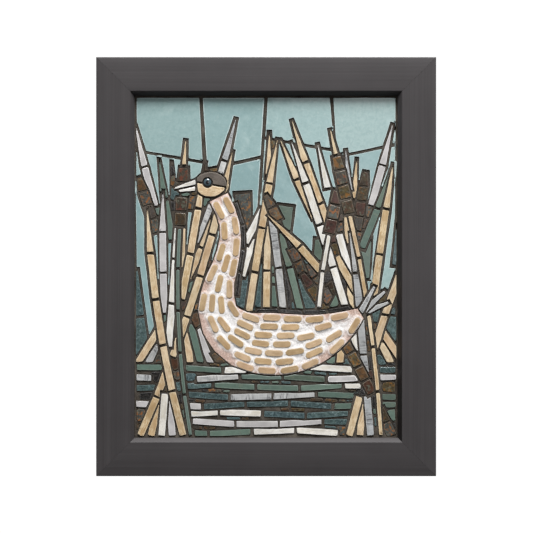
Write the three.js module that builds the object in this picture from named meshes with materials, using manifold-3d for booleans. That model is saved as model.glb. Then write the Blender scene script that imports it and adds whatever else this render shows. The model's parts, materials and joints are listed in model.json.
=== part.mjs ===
// A framed mosaic panel: hand-cut strips of stone, ceramic and glass in mortar, in a painted wooden frame.
// Millimetres, +Z up. The front faces -Y. The origin is on the back of the top rail, at the wall.
import * as THREE from "three";
import { mergeVertices } from "three/addons/utils/BufferGeometryUtils.js";
import Module from "manifold-3d";

const wasm = await Module();
wasm.setup();

// The board that carries the mosaic
const boardWidth = 350;
const boardHeight = 450;
const boardThickness = 8;

// The frame's rails
const railWidth = 48; // across the face, with the lip
const railDepth = 28; // from the wall to the front
const lipOverlap = 8; // how much of the board the lip covers
const lipThickness = 8.5;
const lipSlopeWidth = 5; // the sloping inner edge, across the face
const lipSlopeDrop = 6; // and how far it falls
const outerEase = 1; // the broken outer edges
const boardPlay = 0.6; // around the board in its rebate
const fitGap = 0.3; // between pieces that touch
const flatness = 0.001; // faces this near to one plane are one face

// The mortar and what stands in it
const mortarThickness = 3.8;
const mortarBorder = 2; // from the mortar's edge to the board's
const tileMargin = 1.2; // between the tiles and the lip's edge
const pocketDepth = 2.4; // how deep a tile is set
const rise = {
  tan: 1.7,
  white: 1.55,
  lavender: 1.4,
  grey: 1.25,
  sky: 1.1,
  green: 0.95,
  teal: 0.8,
  brown: 0.65,
  black: 0.5,
  cap: 1.4,
}; // how far each kind of tile stands out of the mortar
const domeRise = 3; // the glass eye
const paleMortarRise = 0.3; // the bird's own mortar, over the dark

// Joints and cutting
const groutGap = 1.5; // between a strip and what lies behind it
const jointGap = 1.1; // between the tiles of one strip
const leastTileArea = 112; // smaller cut-offs aren't laid
const leastTileWidth = 4.8;
const ownStrips = {
  tail_feather: 3,
  back_line: 2,
  rush_head: 3,
  rush_stem: 2,
  reed: 16,
  stalk: 2,
  ripple: 8,
  sky: 7,
}; // how many of each stand alone, in the order they are laid; the others are one with the mortar

// The strips that make the reeds
const reedWidth = 9.5;
const reedTileLength = 56;
const reedTipWidth = 1.6;
const frontReedInset = 33; // from the field's side to the middle of a front clump
const frontReedGap = 32; // from its tallest tip to the field's top
const sideReedInset = 56; // the clumps behind the water
const sideReedGap = 0;
const middleReedRise = 60; // the clump behind the bird starts over the waterline
const middleReedGap = 41;

// The brown rush heads on their stems, and broken stalks
const rushWidth = 14.5;
const rushTipWidth = 11.6;
const rushTileLength = 19;
const rushHeadTiles = 4;
const stemWidth = 5.5;
const spikeWidth = 6;
const spikeTipWidth = 2;
const spikeLength = 34;
const stalkWidth = 12.4;
const stalkTipWidth = 6;
const stalkShare = 0.8; // of a reed's length
const leftRushInset = 70; // from the field's side to its foot
const leftRushGap = 54; // from its spike to the field's top
const rightRushInset = 20;
const rightRushGap = 36;

// The dark glass behind the reeds
const underWidth = 20;
const underTileLength = 58;
const underShortest = 120;
const underLongest = 220;
const underLean = 16; // degrees between those that lean most

// The sky
const skyColumns = 4;
const skyLean = 16; // how far its joints stray
const skyJointRise = 87; // where they end, over the waterline
const skyRise = 104; // pieces higher than this over the waterline are sky

// The water
const waterDepth = 92; // from the field's foot to the waterline
const rippleWidth = 8.5;
const rippleRows = 8;
const rippleTilesAcross = 6;
const rippleWave = 2.4; // how far a row rises and falls
const rippleWaveLength = 190;
const rippleWaveLag = 1.9; // in radians, from each row to the next

// The bird: how far the top of its head is over the waterline, and the rounded tiles that fill it
const birdHeight = 252;
const birdX = 24; // from the field's middle
const plumeWidth = 8;
const plumeLength = 24.5;
const plumeGap = 2.3;
const eyeDiameter = 11;
const eyeSides = 12;
const domeRings = 2;
const sliverWidth = 5; // the black glass down its back
const sliverLength = 30;
const tailFeatherWidth = 9;
const tailTipWidth = 4;

const colours = {
  tan: [0xcdb083, 0.75],
  white: [0xe9e6df, 0.55],
  lavender: [0xcbc5c8, 0.6],
  grey: [0xa9abab, 0.6],
  sky: [0xa3c2c4, 0.2],
  green: [0x66786c, 0.35],
  teal: [0x4c6f73, 0.3],
  brown: [0x4d3c2d, 0.45],
  black: [0x1b1918, 0.2],
  mortar: [0x5a524d, 0.95],
  paleMortar: [0xe9dcd6, 0.9],
  frame: [0x4b4949, 0.55],
  board: [0x9c9689, 0.9],
  cap: [0x5f564f, 0.6],
  bead: [0x39464b, 0.1],
};

// Heights above the wall, worked out from the stack of pieces
const lipBack = railDepth - lipThickness;
const mortarTop = lipBack - fitGap - rise.tan;
const mortarBack = mortarTop - mortarThickness;
const boardFront = mortarBack - fitGap;
const pocketFloor = mortarTop - pocketDepth;
const tileBack = pocketFloor + fitGap;

// Sizes across the face
const sightWidth = boardWidth - 2 * lipOverlap;
const sightHeight = boardHeight - 2 * lipOverlap;
const outerWidth = sightWidth + 2 * railWidth;
const outerHeight = sightHeight + 2 * railWidth;
const railBackWidth = railWidth - lipOverlap - boardPlay;
const halfWidth = sightWidth / 2 - tileMargin;
const halfHeight = sightHeight / 2 - tileMargin;
const waterline = waterDepth - halfHeight;
const rushTop = rushHeadTiles * rushTileLength + spikeLength;

// Plane geometry: an outline is a list of [x, y]

const add = ([ax, ay], [bx, by]) => [ax + bx, ay + by];
const scaled = ([x, y], k) => [x * k, y * k];
const towards = (degrees) => [Math.sin((degrees * Math.PI) / 180), Math.cos((degrees * Math.PI) / 180)];
const acrossOf = ([x, y]) => [y, -x];
const between = (a, b, share) => a + (b - a) * share;
const previous = (list, i) => list[(i + list.length - 1) % list.length];
const next = (list, i) => list[(i + 1) % list.length];
const scattered = (i) => Math.abs(i * 0.618034) % 1; // evenly spread shares, in no order

function areaOf(outline) {
  return outline.reduce((sum, [x, y], i) => {
    const [nextX, nextY] = next(outline, i);
    return sum + (x * nextY - nextX * y) / 2;
  }, 0);
}

function perimeterOf(outline) {
  return outline.reduce((sum, [x, y], i) => {
    const [nextX, nextY] = next(outline, i);
    return sum + Math.hypot(nextX - x, nextY - y);
  }, 0);
}

function isInside([x, y], outline) {
  const crossings = outline.filter(([ax, ay], i) => {
    const [bx, by] = next(outline, i);
    return ay > y !== by > y && x < ((bx - ax) * (y - ay)) / (by - ay) + ax;
  });
  return crossings.length % 2 === 1;
}

const centreOf = (outline) => scaled(outline.reduce(add, [0, 0]), 1 / outline.length);
const anticlockwise = (outline) => (areaOf(outline) < 0 ? [...outline].reverse() : outline);

// The outline grown by a distance, with its sharp corners kept short
function grown(outline, distance) {
  const longestMitre = 2.2;
  const normalOf = ([ax, ay], [bx, by]) => {
    const run = Math.hypot(bx - ax, by - ay);
    return acrossOf([(bx - ax) / run, (by - ay) / run]);
  };
  return outline.map((point, i) => {
    const sum = add(normalOf(previous(outline, i), point), normalOf(point, next(outline, i)));
    const squared = Math.max((sum[0] ** 2 + sum[1] ** 2) / 2, 1e-6);
    const mitre = Math.min(1 / squared, longestMitre / Math.sqrt(2 * squared));
    return add(point, scaled(sum, mitre * distance));
  });
}

// The outline without its tiny edges and its needless points
function tidied(outline) {
  const shortestEdge = 1;
  const leastTurnArea = 0.7;
  let kept = outline;
  for (let pass = 0; pass < 3; pass++) {
    kept = kept.filter(([x, y], i) => {
      const [fromX, fromY] = previous(kept, i);
      return Math.hypot(x - fromX, y - fromY) > shortestEdge;
    });
    for (let i = 0; i < kept.length && kept.length > 3; i++) {
      const corner = [previous(kept, i), kept[i], next(kept, i)];
      if (Math.abs(areaOf(corner)) < leastTurnArea) kept = kept.filter((_, k) => k !== i);
    }
  }
  return kept;
}

// Whether an outline keeps clear of itself, so that it makes a closed prism
function isSimple(outline) {
  const points = outline.map(([x, y]) => new THREE.Vector2(x, y));
  return THREE.ShapeUtils.triangulateShape(points, []).length === outline.length - 2;
}

const rectangle = (halfX, halfY) => [
  [-halfX, -halfY],
  [halfX, -halfY],
  [halfX, halfY],
  [-halfX, halfY],
];

function ellipse([x, y], radiusX, radiusY, sides) {
  return Array.from({ length: sides }, (_, i) => {
    const turn = (2 * Math.PI * (i + 0.5)) / sides;
    return [x + radiusX * Math.cos(turn), y + radiusY * Math.sin(turn)];
  });
}

// Solids: x to the right, y up the panel and z out from the wall, until the whole is turned upright

function solidOf(geometry) {
  const bare = geometry.index ? geometry.toNonIndexed() : geometry;
  const places = new THREE.BufferGeometry().setAttribute("position", bare.getAttribute("position"));
  const merged = mergeVertices(places, 1e-4);
  return new wasm.Manifold(
    new wasm.Mesh({
      numProp: 3,
      vertProperties: merged.attributes.position.array,
      triVerts: new Uint32Array(merged.index.array),
    }),
  );
}

function geometryOf(solid) {
  const mesh = solid.asOriginal().simplify(flatness).getMesh();
  const geometry = new THREE.BufferGeometry();
  geometry.setAttribute("position", new THREE.BufferAttribute(new Float32Array(mesh.vertProperties), 3));
  geometry.setIndex(new THREE.BufferAttribute(new Uint32Array(mesh.triVerts), 1));
  return geometry;
}

function prismGeometry(outline, low, high) {
  const shape = new THREE.Shape(anticlockwise(outline).map(([x, y]) => new THREE.Vector2(x, y)));
  const geometry = new THREE.ExtrudeGeometry(shape, { depth: high - low, bevelEnabled: false });
  return geometry.translate(0, 0, low);
}

const prism = (outline, low, high) => solidOf(prismGeometry(outline, low, high));
const joined = (solids) => solids.reduce((whole, solid) => whole.add(solid));

// The outline of an upright solid's flat top
function topOutline(solid, top) {
  const mesh = solid.getMesh();
  const pointOf = (v) => Array.from(mesh.vertProperties.slice(v * mesh.numProp, v * mesh.numProp + 3));
  const isOnTop = (v) => Math.abs(pointOf(v)[2] - top) < 1e-3;
  const edges = new Map();
  for (let t = 0; t < mesh.triVerts.length; t += 3) {
    const corners = Array.from(mesh.triVerts.slice(t, t + 3));
    if (!corners.every(isOnTop)) continue;
    for (const [i, from] of corners.entries()) {
      const to = next(corners, i);
      edges.set(`${from},${to}`, [from, to]);
    }
  }
  const rim = [...edges.values()].filter(([a, b]) => !edges.has(`${b},${a}`));
  const nextOf = new Map(rim);
  const outline = [];
  let corner = rim[0][0];
  while (nextOf.has(corner)) {
    outline.push(pointOf(corner).slice(0, 2));
    const following = nextOf.get(corner);
    nextOf.delete(corner);
    corner = following;
  }
  const neat = tidied(outline);
  return isSimple(neat) ? neat : outline;
}

// Laying: the front pieces first, and each later one cut to what they leave, as flat slices

const sliceHeight = 1;
const slice = (outline) => prism(outline, 0, sliceHeight);
const cutter = (outline) => prism(outline, -sliceHeight, 2 * sliceHeight);
const field = rectangle(halfWidth, halfHeight);
const window = prism(field, -2 * sliceHeight, 3 * sliceHeight);
let laid = cutter(rectangle(boardWidth, boardHeight)).subtract(window);
const rows = [];
const stripCounts = {};

function isWorthLaying(outline) {
  const area = areaOf(outline);
  const width = (4 * area) / perimeterOf(outline);
  return isSimple(outline) && area > leastTileArea && width > leastTileWidth;
}

const openBits = (solid) =>
  solid
    .subtract(laid)
    .decompose()
    .map((bit) => topOutline(bit, sliceHeight))
    .filter(isWorthLaying);

function cover(outline, gap = groutGap) {
  laid = laid.add(cutter(grown(anticlockwise(outline), gap)));
}

// Strips: straight tiles end to end along a line. A station on it is a place, a heading and a half-width.

function endOf({ place, heading, half }, along) {
  const middle = add(place, scaled(towards(heading), along));
  const across = acrossOf(towards(heading));
  return [add(middle, scaled(across, -half)), add(middle, scaled(across, half))];
}

function quadBetween(from, to, gap) {
  const [lowLeft, lowRight] = endOf(from, gap / 2);
  const [highLeft, highRight] = endOf(to, -gap / 2);
  return [lowLeft, lowRight, highRight, highLeft];
}

function nextNumber(name) {
  stripCounts[name] = (stripCounts[name] ?? 0) + 1;
  return stripCounts[name];
}

// What shows of a strip, as rows of tiles with the mortar between them
function layStrip(stations, kind, name) {
  const spans = stations.slice(1).map((station, i) => ({
    whole: quadBetween(stations[i], station, 0),
    bits: openBits(slice(quadBetween(stations[i], station, jointGap))),
  }));
  const shown = spans.filter(({ bits }) => bits.length);
  if (!shown.length) return;
  const number = nextNumber(name);
  const bits = shown.flatMap((span) => span.bits);
  for (const base of openBits(joined(shown.map(({ whole }) => slice(whole))))) {
    const tiles = bits.filter((bit) => isInside(centreOf(bit), base));
    if (tiles.length) rows.push({ name, number, kind, base, tiles });
  }
  for (const { whole } of shown) cover(whole);
}

// The stations of a strip that turns evenly as it goes, at the joints of its tiles
function evenStations({ foot, lean, bend = 0, length, width, tip = width, tile }) {
  const count = Math.max(1, Math.round(length / tile));
  const stations = [{ place: foot, heading: lean, half: width / 2 }];
  for (let i = 1; i <= count; i++) {
    const { place, heading } = stations[i - 1];
    const turned = lean + (bend * i) / count;
    const middle = towards((heading + turned) / 2);
    const half = (i === count ? tip : width) / 2;
    stations.push({ place: add(place, scaled(middle, length / count)), heading: turned, half });
  }
  return stations;
}

// A line of mortar between two places, that later pieces stop at
function coverLine(from, to) {
  const lineHalf = 0.1;
  const run = Math.hypot(to[0] - from[0], to[1] - from[1]);
  const side = scaled(acrossOf([to[0] - from[0], to[1] - from[1]]), lineHalf / run);
  const otherSide = scaled(side, -1);
  const line = [add(from, side), add(to, side), add(to, otherSide), add(from, otherSide)];
  cover(line, groutGap / 2);
}

// The bird: a water bird afloat, facing left. Its shape is in shares of its height, from the waterline.
const onBird = (x, y) => [birdX + x * birdHeight, waterline + y * birdHeight];

// From the nape down the neck and back along the body to the tail: place, and half-width there
const spine = new THREE.CatmullRomCurve3(
  [
    [-0.335, 0.84, 0.05],
    [-0.29, 0.745, 0.05],
    [-0.275, 0.64, 0.053],
    [-0.295, 0.52, 0.062],
    [-0.335, 0.39, 0.078],
    [-0.335, 0.245, 0.104],
    [-0.225, 0.13, 0.14],
    [-0.06, 0.1, 0.156],
    [0.11, 0.115, 0.136],
    [0.26, 0.175, 0.088],
    [0.38, 0.255, 0.03],
  ].map(([x, y, half]) => new THREE.Vector3(...onBird(x, y), half * birdHeight)),
);
const spineLength = spine.getLength();

// The place a distance along the spine and another across it, its heading there and the half-width
function onSpine(along, across) {
  const step = 2;
  const pointAt = (run) => spine.getPointAt(THREE.MathUtils.clamp(run / spineLength, 0, 1));
  const at = pointAt(along);
  const before = pointAt(along - step);
  const after = pointAt(along + step);
  const run = Math.hypot(after.x - before.x, after.y - before.y);
  const forward = [(after.x - before.x) / run, (after.y - before.y) / run];
  const widening = (after.z - before.z) / run;
  return { place: add([at.x, at.y], scaled(acrossOf(forward), across)), forward, half: at.z, widening };
}

const turnedBy = ([x, y], turn) => [
  x * Math.cos(turn) + y * Math.sin(turn),
  y * Math.cos(turn) - x * Math.sin(turn),
];

function bodyOutline() {
  const stations = 20;
  const side = (sign) =>
    Array.from({ length: stations + 1 }, (_, i) => {
      const along = (spineLength * i) / stations;
      return onSpine(along, sign * onSpine(along, 0).half).place;
    });
  return anticlockwise([...side(-1), ...side(1).reverse()]);
}

// One rounded tile, along a heading
function plumeOutline(place, forward) {
  const across = acrossOf(forward);
  const shoulder = plumeLength / 2 - plumeWidth * 0.32;
  const corners = [
    [-plumeLength / 2, 0],
    [-shoulder, plumeWidth / 2],
    [shoulder, plumeWidth / 2],
    [plumeLength / 2, 0],
    [shoulder, -plumeWidth / 2],
    [-shoulder, -plumeWidth / 2],
  ];
  return anticlockwise(corners.map(([a, b]) => add(place, add(scaled(forward, a), scaled(across, b)))));
}

// Rows of rounded tiles across the neck and the body, each tile along the way the shape runs
function plumeOutlines(body) {
  const step = 2.5;
  const edge = plumeWidth / 2 + plumeGap * 0.7;
  const straight = (plumeLength - plumeWidth) / 2;
  const leastApart = plumeWidth + plumeGap * 0.75;
  const placed = [];
  const found = [];
  for (let along = plumeLength * 0.4; along < spineLength; along += step) {
    const reach = onSpine(along, 0).half - edge;
    const count = Math.max(1, Math.floor((2 * reach) / (plumeWidth + plumeGap)) + 1);
    for (let column = 0; column < count; column++) {
      const side = count === 1 ? 0 : (2 * column) / (count - 1) - 1;
      const { place, forward, widening } = onSpine(along, side * reach);
      const flow = turnedBy(forward, Math.atan(side * widening));
      const marks = [-1, -0.5, 0, 0.5, 1].map((a) => add(place, scaled(flow, a * straight)));
      const outline = plumeOutline(place, flow);
      const isFar = ([x, y]) => ([u, v]) => Math.hypot(x - u, y - v) > leastApart;
      const isClear = placed.every((other) => marks.every((mark) => other.every(isFar(mark))));
      if (!isClear || !grown(outline, 0.5).every((corner) => isInside(corner, body))) continue;
      placed.push(marks);
      found.push(outline);
    }
  }
  return found;
}

// The head, facing left: a cap over a cheek, with the eye between them, and a bill in two blades
const headPlace = onBird(-0.375, 0.905);
const headRadiusX = 0.082 * birdHeight;
const headRadiusY = 0.064 * birdHeight;
const headSides = 18;
const eyePlace = add(headPlace, [-0.016 * birdHeight, 0.01 * birdHeight]);
const eyeOutline = ellipse(eyePlace, eyeDiameter / 2, eyeDiameter / 2, eyeSides);
const headPieces = [];

function layHead() {
  const browSlope = 0.18;
  const browAt = (x) => headPlace[1] + (x - headPlace[0]) * -browSlope;
  const root = add(headPlace, [-0.9 * headRadiusX, -0.004 * birdHeight]);
  const bill = (points) => anticlockwise(points.map((point) => add(root, scaled(point, birdHeight))));
  const pieces = [
    ["bird_eye", "bead", eyeOutline],
    ["bird_bill_upper", "white", bill([[0, 0.003], [0, 0.032], [-0.107, -0.008], [-0.115, -0.022]])],
    ["bird_bill_lower", "white", bill([[0, -0.003], [-0.095, -0.024], [-0.083, -0.036], [0, -0.028]])],
  ];
  for (const [name, kind, outline] of pieces) {
    headPieces.push({ name, kind, base: outline, tiles: [outline] });
    cover(outline, jointGap);
  }
  const browHeight = 0.2;
  const left = headPlace[0] - headRadiusX * 1.3;
  const right = headPlace[0] + headRadiusX * 1.3;
  const browLine = [
    [left, browAt(left)],
    [right, browAt(right)],
    [right, browAt(right) + browHeight],
    [left, browAt(left) + browHeight],
  ];
  const skull = ellipse(headPlace, headRadiusX, headRadiusY, headSides);
  const cut = slice(skull).subtract(cutter(grown(browLine, jointGap / 2)));
  const [cap, cheek] = openBits(cut).sort((a, b) => centreOf(b)[1] - centreOf(a)[1]);
  headPieces.push({ name: "bird_cap", kind: "cap", base: cap, tiles: [cap] });
  headPieces.push({ name: "bird_cheek", kind: "tan", base: cheek, tiles: [cheek] });
  cover(skull, jointGap);
}

layHead();
const [body] = openBits(slice(bodyOutline()));
cover(bodyOutline(), jointGap);

// Black slivers of glass down the nape and along the back
function layBack() {
  const stations = [];
  for (let along = sliverLength / 2; along < spineLength - sliverWidth; along++) {
    const { half } = onSpine(along, 0);
    const { place, forward } = onSpine(along, -(half + jointGap + sliverWidth / 2));
    const last = stations[stations.length - 1];
    if (last && Math.hypot(place[0] - last.place[0], place[1] - last.place[1]) < sliverLength) continue;
    const heading = (Math.atan2(forward[0], forward[1]) * 180) / Math.PI;
    stations.push({ place, heading, half: sliverWidth / 2 });
  }
  layStrip(stations, "black", "back_line");
}
layBack();

// The tail's long feathers: how each leans, and its length as a share of the bird's height
for (const [lean, share] of [
  [28, 0.16],
  [48, 0.175],
  [68, 0.16],
]) {
  const length = share * birdHeight;
  const shape = { length, width: tailFeatherWidth, tip: tailTipWidth, tile: length };
  layStrip(evenStations({ foot: onBird(0.377, 0.252), lean, ...shape }), "grey", "tail_feather");
}

// Rushes: a thin stem, and a head of short brown tiles with a spike on it
function layRush({ foot, lean, bend, height, kind }) {
  const stem = evenStations({ foot, lean, bend, length: height, width: stemWidth, tile: reedTileLength });
  const { place, heading } = stem[stem.length - 1];
  const headLength = rushHeadTiles * rushTileLength;
  const head = { foot: place, lean: heading, length: headLength, width: rushWidth, tip: rushTipWidth };
  const top = add(place, scaled(towards(heading), headLength));
  const spike = { foot: top, lean: heading, length: spikeLength, width: spikeWidth, tip: spikeTipWidth };
  layStrip(evenStations({ ...head, tile: rushTileLength }), "brown", "rush_head");
  layStrip(evenStations({ ...spike, tile: spikeLength }), "tan", "rush_spike");
  layStrip(stem, kind, "rush_stem");
}

const stemReach = 2 * halfHeight - rushTop;
const leftRushFoot = [leftRushInset - halfWidth, -halfHeight];
const rightRushFoot = [halfWidth - rightRushInset, -halfHeight];
layRush({ foot: leftRushFoot, lean: -10, bend: 14, height: stemReach - leftRushGap, kind: "green" });
layRush({ foot: rightRushFoot, lean: -3, bend: -10, height: stemReach - rightRushGap, kind: "tan" });
layRush({ foot: onBird(0.17, 0.28), lean: 4, bend: 8, height: 0.38 * birdHeight, kind: "white" });

// Reeds: each clump fans its blades from one foot, the next in front of or behind the last
const reedKinds = [
  ...["tan", "white", "tan", "lavender", "tan", "brown"],
  ...["grey", "tan", "white", "tan", "brown", "green"],
];
let reedCount = 0;

function layReed(foot, lean, bend, length) {
  const kind = reedKinds[reedCount++ % reedKinds.length];
  const isStalk = kind === "brown";
  const stations = evenStations({
    foot,
    lean,
    bend,
    length: isStalk ? length * stalkShare : length,
    width: isStalk ? stalkWidth : reedWidth,
    tip: isStalk ? stalkTipWidth : reedTipWidth,
    tile: isStalk ? rushTileLength : reedTileLength,
  });
  layStrip(stations, kind, isStalk ? "stalk" : "reed");
}

function layClump({ foot: [x, y], spread, blades, fan: [leftmost, rightmost], bend, height }) {
  for (let i = 0; i < blades; i++) {
    const share = ((i * 2) % blades) / (blades - 1); // not side by side, so that the blades cross
    const foot = [x + spread * (0.5 - share) * 1.2, y];
    const length = height * between(0.72, 1, scattered(i + x));
    layReed(foot, between(leftmost, rightmost, share), bend * (1 - 2 * share), length);
  }
}

// Strokes of one kind of tile, in rows on a shallow wave
function layWater() {
  const strokeKinds = ["green", "white", "teal", "grey", "green", "lavender", "teal"];
  const ripplePitch = (waterline + halfHeight) / rippleRows;
  const tileLength = (2 * halfWidth) / rippleTilesAcross;
  let strokes = 0;
  for (let row = 0; row < rippleRows; row++) {
    const middle = waterline - ripplePitch * (row + 0.5);
    const turnAt = (x) => (2 * Math.PI * x) / rippleWaveLength + row * rippleWaveLag;
    const waveAt = (x) => middle + rippleWave * Math.sin(turnAt(x));
    let x = -halfWidth - tileLength * scattered(row);
    while (x < halfWidth) {
      const tiles = 2 + (strokes % 2);
      const stations = Array.from({ length: tiles + 1 }, (_, i) => {
        const along = x + i * tileLength;
        return { place: [along, waveAt(along)], heading: 90, half: rippleWidth / 2 };
      });
      layStrip(stations, strokeKinds[strokes++ % strokeKinds.length], "ripple");
      x += tiles * tileLength;
    }
  }
  cover([
    [-halfWidth, -halfHeight],
    [halfWidth, -halfHeight],
    [halfWidth, waterline],
    [-halfWidth, waterline],
  ]);
}

const frontHeight = 2 * halfHeight - frontReedGap;
const sideHeight = halfHeight - waterline - sideReedGap;
const middleHeight = halfHeight - waterline - middleReedRise - middleReedGap;
const frontX = halfWidth - frontReedInset;
const sideX = halfWidth - sideReedInset;
const front = { spread: 46, blades: 5, height: frontHeight };
const side = { blades: 9, height: sideHeight };
const middle = { spread: 190, blades: 11, height: middleHeight };
layClump({ ...front, foot: [-frontX, -halfHeight], fan: [-15, 24], bend: 12 });
layClump({ ...front, foot: [frontX, -halfHeight], fan: [-24, 14], bend: -10 });
layWater();
layClump({ ...side, foot: [-sideX, waterline], spread: 90, fan: [-32, 34], bend: 16 });
layClump({ ...side, foot: [sideX, waterline], spread: 110, fan: [-36, 32], bend: 14 });
layClump({ ...middle, foot: [0, waterline + middleReedRise], fan: [-34, 36], bend: -14 });

// Dark glass standing behind the reeds
function layUnderReeds() {
  const kinds = ["teal", "brown", "green", "black", "teal", "green"];
  const count = Math.round((2 * halfWidth) / underWidth);
  for (let i = 0; i < count; i++) {
    const foot = [between(-halfWidth, halfWidth, (i + 0.5) / count), waterline];
    const length = between(underShortest, underLongest, scattered(i * 3));
    const lean = underLean * (scattered(i) - 0.5);
    const stations = evenStations({ foot, lean, length, width: underWidth, tile: underTileLength });
    layStrip(stations, kinds[i % kinds.length], "glass");
  }
}
layUnderReeds();

// The joints of the sky: lines down from the top edge, and a short one across between each two of them
const skyJointFoot = waterline + skyJointRise;

function skyJointAt(i, y) {
  const x = between(-halfWidth, halfWidth, i / skyColumns);
  const lean = skyLean * (i % 2 ? 1 : -1);
  return [x + (lean * (halfHeight - y)) / (halfHeight - skyJointFoot), y];
}

for (let i = 0; i < skyColumns; i++) {
  const y = halfHeight * between(0.5, 0.8, scattered(i + 1));
  coverLine(skyJointAt(i, y), skyJointAt(i + 1, y + skyLean * (i % 2 ? 1 : -1)));
  if (i > 0) coverLine(skyJointAt(i, halfHeight + groutGap), skyJointAt(i, skyJointFoot));
}

// What is left is the sky, and low down a few more pieces of glass
const remnants = openBits(slice(field)).sort((a, b) => areaOf(b) - areaOf(a));
for (const bit of remnants) {
  const isSky = centreOf(bit)[1] > waterline + skyRise;
  const name = isSky ? "sky" : "glass";
  rows.push({ name, number: nextNumber(name), kind: isSky ? "sky" : "teal", base: bit, tiles: [bit] });
}

// The pieces

const panel = new THREE.Group();

function addPiece(name, geometry, colourName) {
  const [color, roughness] = colours[colourName];
  const mesh = new THREE.Mesh(geometry, new THREE.MeshStandardMaterial({ color, roughness, metalness: 0 }));
  mesh.name = name;
  panel.add(mesh);
  return mesh;
}

// A rail, cut at both ends to meet its neighbours at a mitre: x out along the wall, y up, z along the rail
function railGeometry(length) {
  const profile = [
    [0, 0],
    [railBackWidth, 0],
    [railBackWidth, lipBack],
    [railWidth, lipBack],
    [railWidth, railDepth - lipSlopeDrop],
    [railWidth - lipSlopeWidth, railDepth],
    [outerEase, railDepth],
    [0, railDepth - outerEase],
  ];
  const geometry = prismGeometry(profile, 0, length);
  const place = geometry.getAttribute("position");
  const mitreGap = fitGap * Math.SQRT1_2;
  for (let i = 0; i < place.count; i++) {
    const inset = place.getX(i) + mitreGap;
    place.setZ(i, place.getZ(i) > length / 2 ? length - inset : inset);
  }
  return geometry;
}

// In from the outer edge, out from the wall and along the rail become up, out and right
const lyingFlat = new THREE.Matrix4().makeBasis(
  new THREE.Vector3(0, 1, 0),
  new THREE.Vector3(0, 0, 1),
  new THREE.Vector3(1, 0, 0),
);

for (const [side, length, quarterTurns, x, y] of [
  ["bottom", outerWidth, 0, -1, -1],
  ["right", outerHeight, 1, 1, -1],
  ["top", outerWidth, 2, 1, 1],
  ["left", outerHeight, 3, -1, 1],
]) {
  const rail = addPiece(`frame_rail_${side}`, railGeometry(length).applyMatrix4(lyingFlat), "frame");
  rail.rotation.z = (quarterTurns * Math.PI) / 2;
  rail.position.set((x * outerWidth) / 2, (y * outerHeight) / 2, 0);
}

const boardOutline = rectangle(boardWidth / 2, boardHeight / 2);
addPiece("backing_board", prismGeometry(boardOutline, boardFront - boardThickness, boardFront), "board");

// The largest row of each of the first strips is a piece of its own, in its pocket
const rowArea = ({ tiles }) => tiles.reduce((sum, tile) => sum + areaOf(tile), 0);
const ownRows = [];
for (const [name, count] of Object.entries(ownStrips)) {
  for (let number = 1; number <= count; number++) {
    const parts = rows.filter((row) => row.name === name && row.number === number);
    const [largest] = parts.sort((a, b) => rowArea(b) - rowArea(a));
    if (largest) ownRows.push(largest);
  }
}
const smallRows = rows.filter((row) => !ownRows.includes(row));
for (const row of ownRows) row.name = `${row.name}_${String(row.number).padStart(2, "0")}`;

// The bird's eye, a low glass dome on a short cylinder
function beadGeometry() {
  const radius = eyeDiameter / 2;
  const domeFoot = mortarTop + rise.black;
  const profile = [new THREE.Vector2(0, tileBack), new THREE.Vector2(radius, tileBack)];
  for (let i = 0; i <= domeRings; i++) {
    const turn = ((Math.PI / 2) * i) / domeRings;
    const ring = i === domeRings ? 0 : radius * Math.cos(turn);
    profile.push(new THREE.Vector2(ring, domeFoot + (domeRise - rise.black) * Math.sin(turn)));
  }
  return new THREE.LatheGeometry(profile, eyeSides).rotateX(Math.PI / 2).translate(...eyePlace, 0);
}

function rowSolid({ kind, base, tiles }) {
  const top = mortarTop + rise[kind];
  if (tiles.length === 1) return prism(tiles[0], tileBack, top);
  return joined([prism(base, tileBack, mortarTop), ...tiles.map((tile) => prism(tile, mortarTop, top))]);
}

for (const row of [...headPieces, ...ownRows]) {
  addPiece(row.name, row.kind === "bead" ? beadGeometry() : geometryOf(rowSolid(row)), row.kind);
}

// The pale mortar of the neck and body, one with its rounded tiles
const birdTop = mortarTop + paleMortarRise;
const plumes = plumeOutlines(body).map((outline) => prism(outline, mortarTop, mortarTop + rise.tan));
addPiece("bird_body", geometryOf(joined([prism(body, tileBack, birdTop), ...plumes])), "paleMortar");

// The dark mortar: pockets for the pieces above, and the smaller rows one with it
const footOf = ({ base, tiles }) => (tiles.length === 1 ? tiles[0] : base);
const pockets = [body, ...headPieces.map(footOf), ...ownRows.map(footOf)].map((outline) =>
  prism(grown(outline, fitGap), pocketFloor, railDepth),
);
const smallTiles = smallRows.flatMap(({ kind, tiles }) =>
  tiles.map((tile) => prism(tile, pocketFloor, mortarTop + rise[kind])),
);
const slabOutline = rectangle(boardWidth / 2 - mortarBorder, boardHeight / 2 - mortarBorder);
const slab = prism(slabOutline, mortarBack, mortarTop);
addPiece("mortar_bed", geometryOf(joined([slab.subtract(joined(pockets)), ...smallTiles])), "mortar");

// Upright, with its back to the wall and the origin behind the middle of the top rail
const upright = new THREE.Group();
panel.rotation.x = Math.PI / 2;
panel.position.z = -(outerHeight - railBackWidth) / 2;
upright.add(panel);

export default upright;
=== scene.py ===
import bpy
import bmesh
import json
import math
import random
from mathutils import Matrix, Vector, noise
from mathutils.bvhtree import BVHTree


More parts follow.
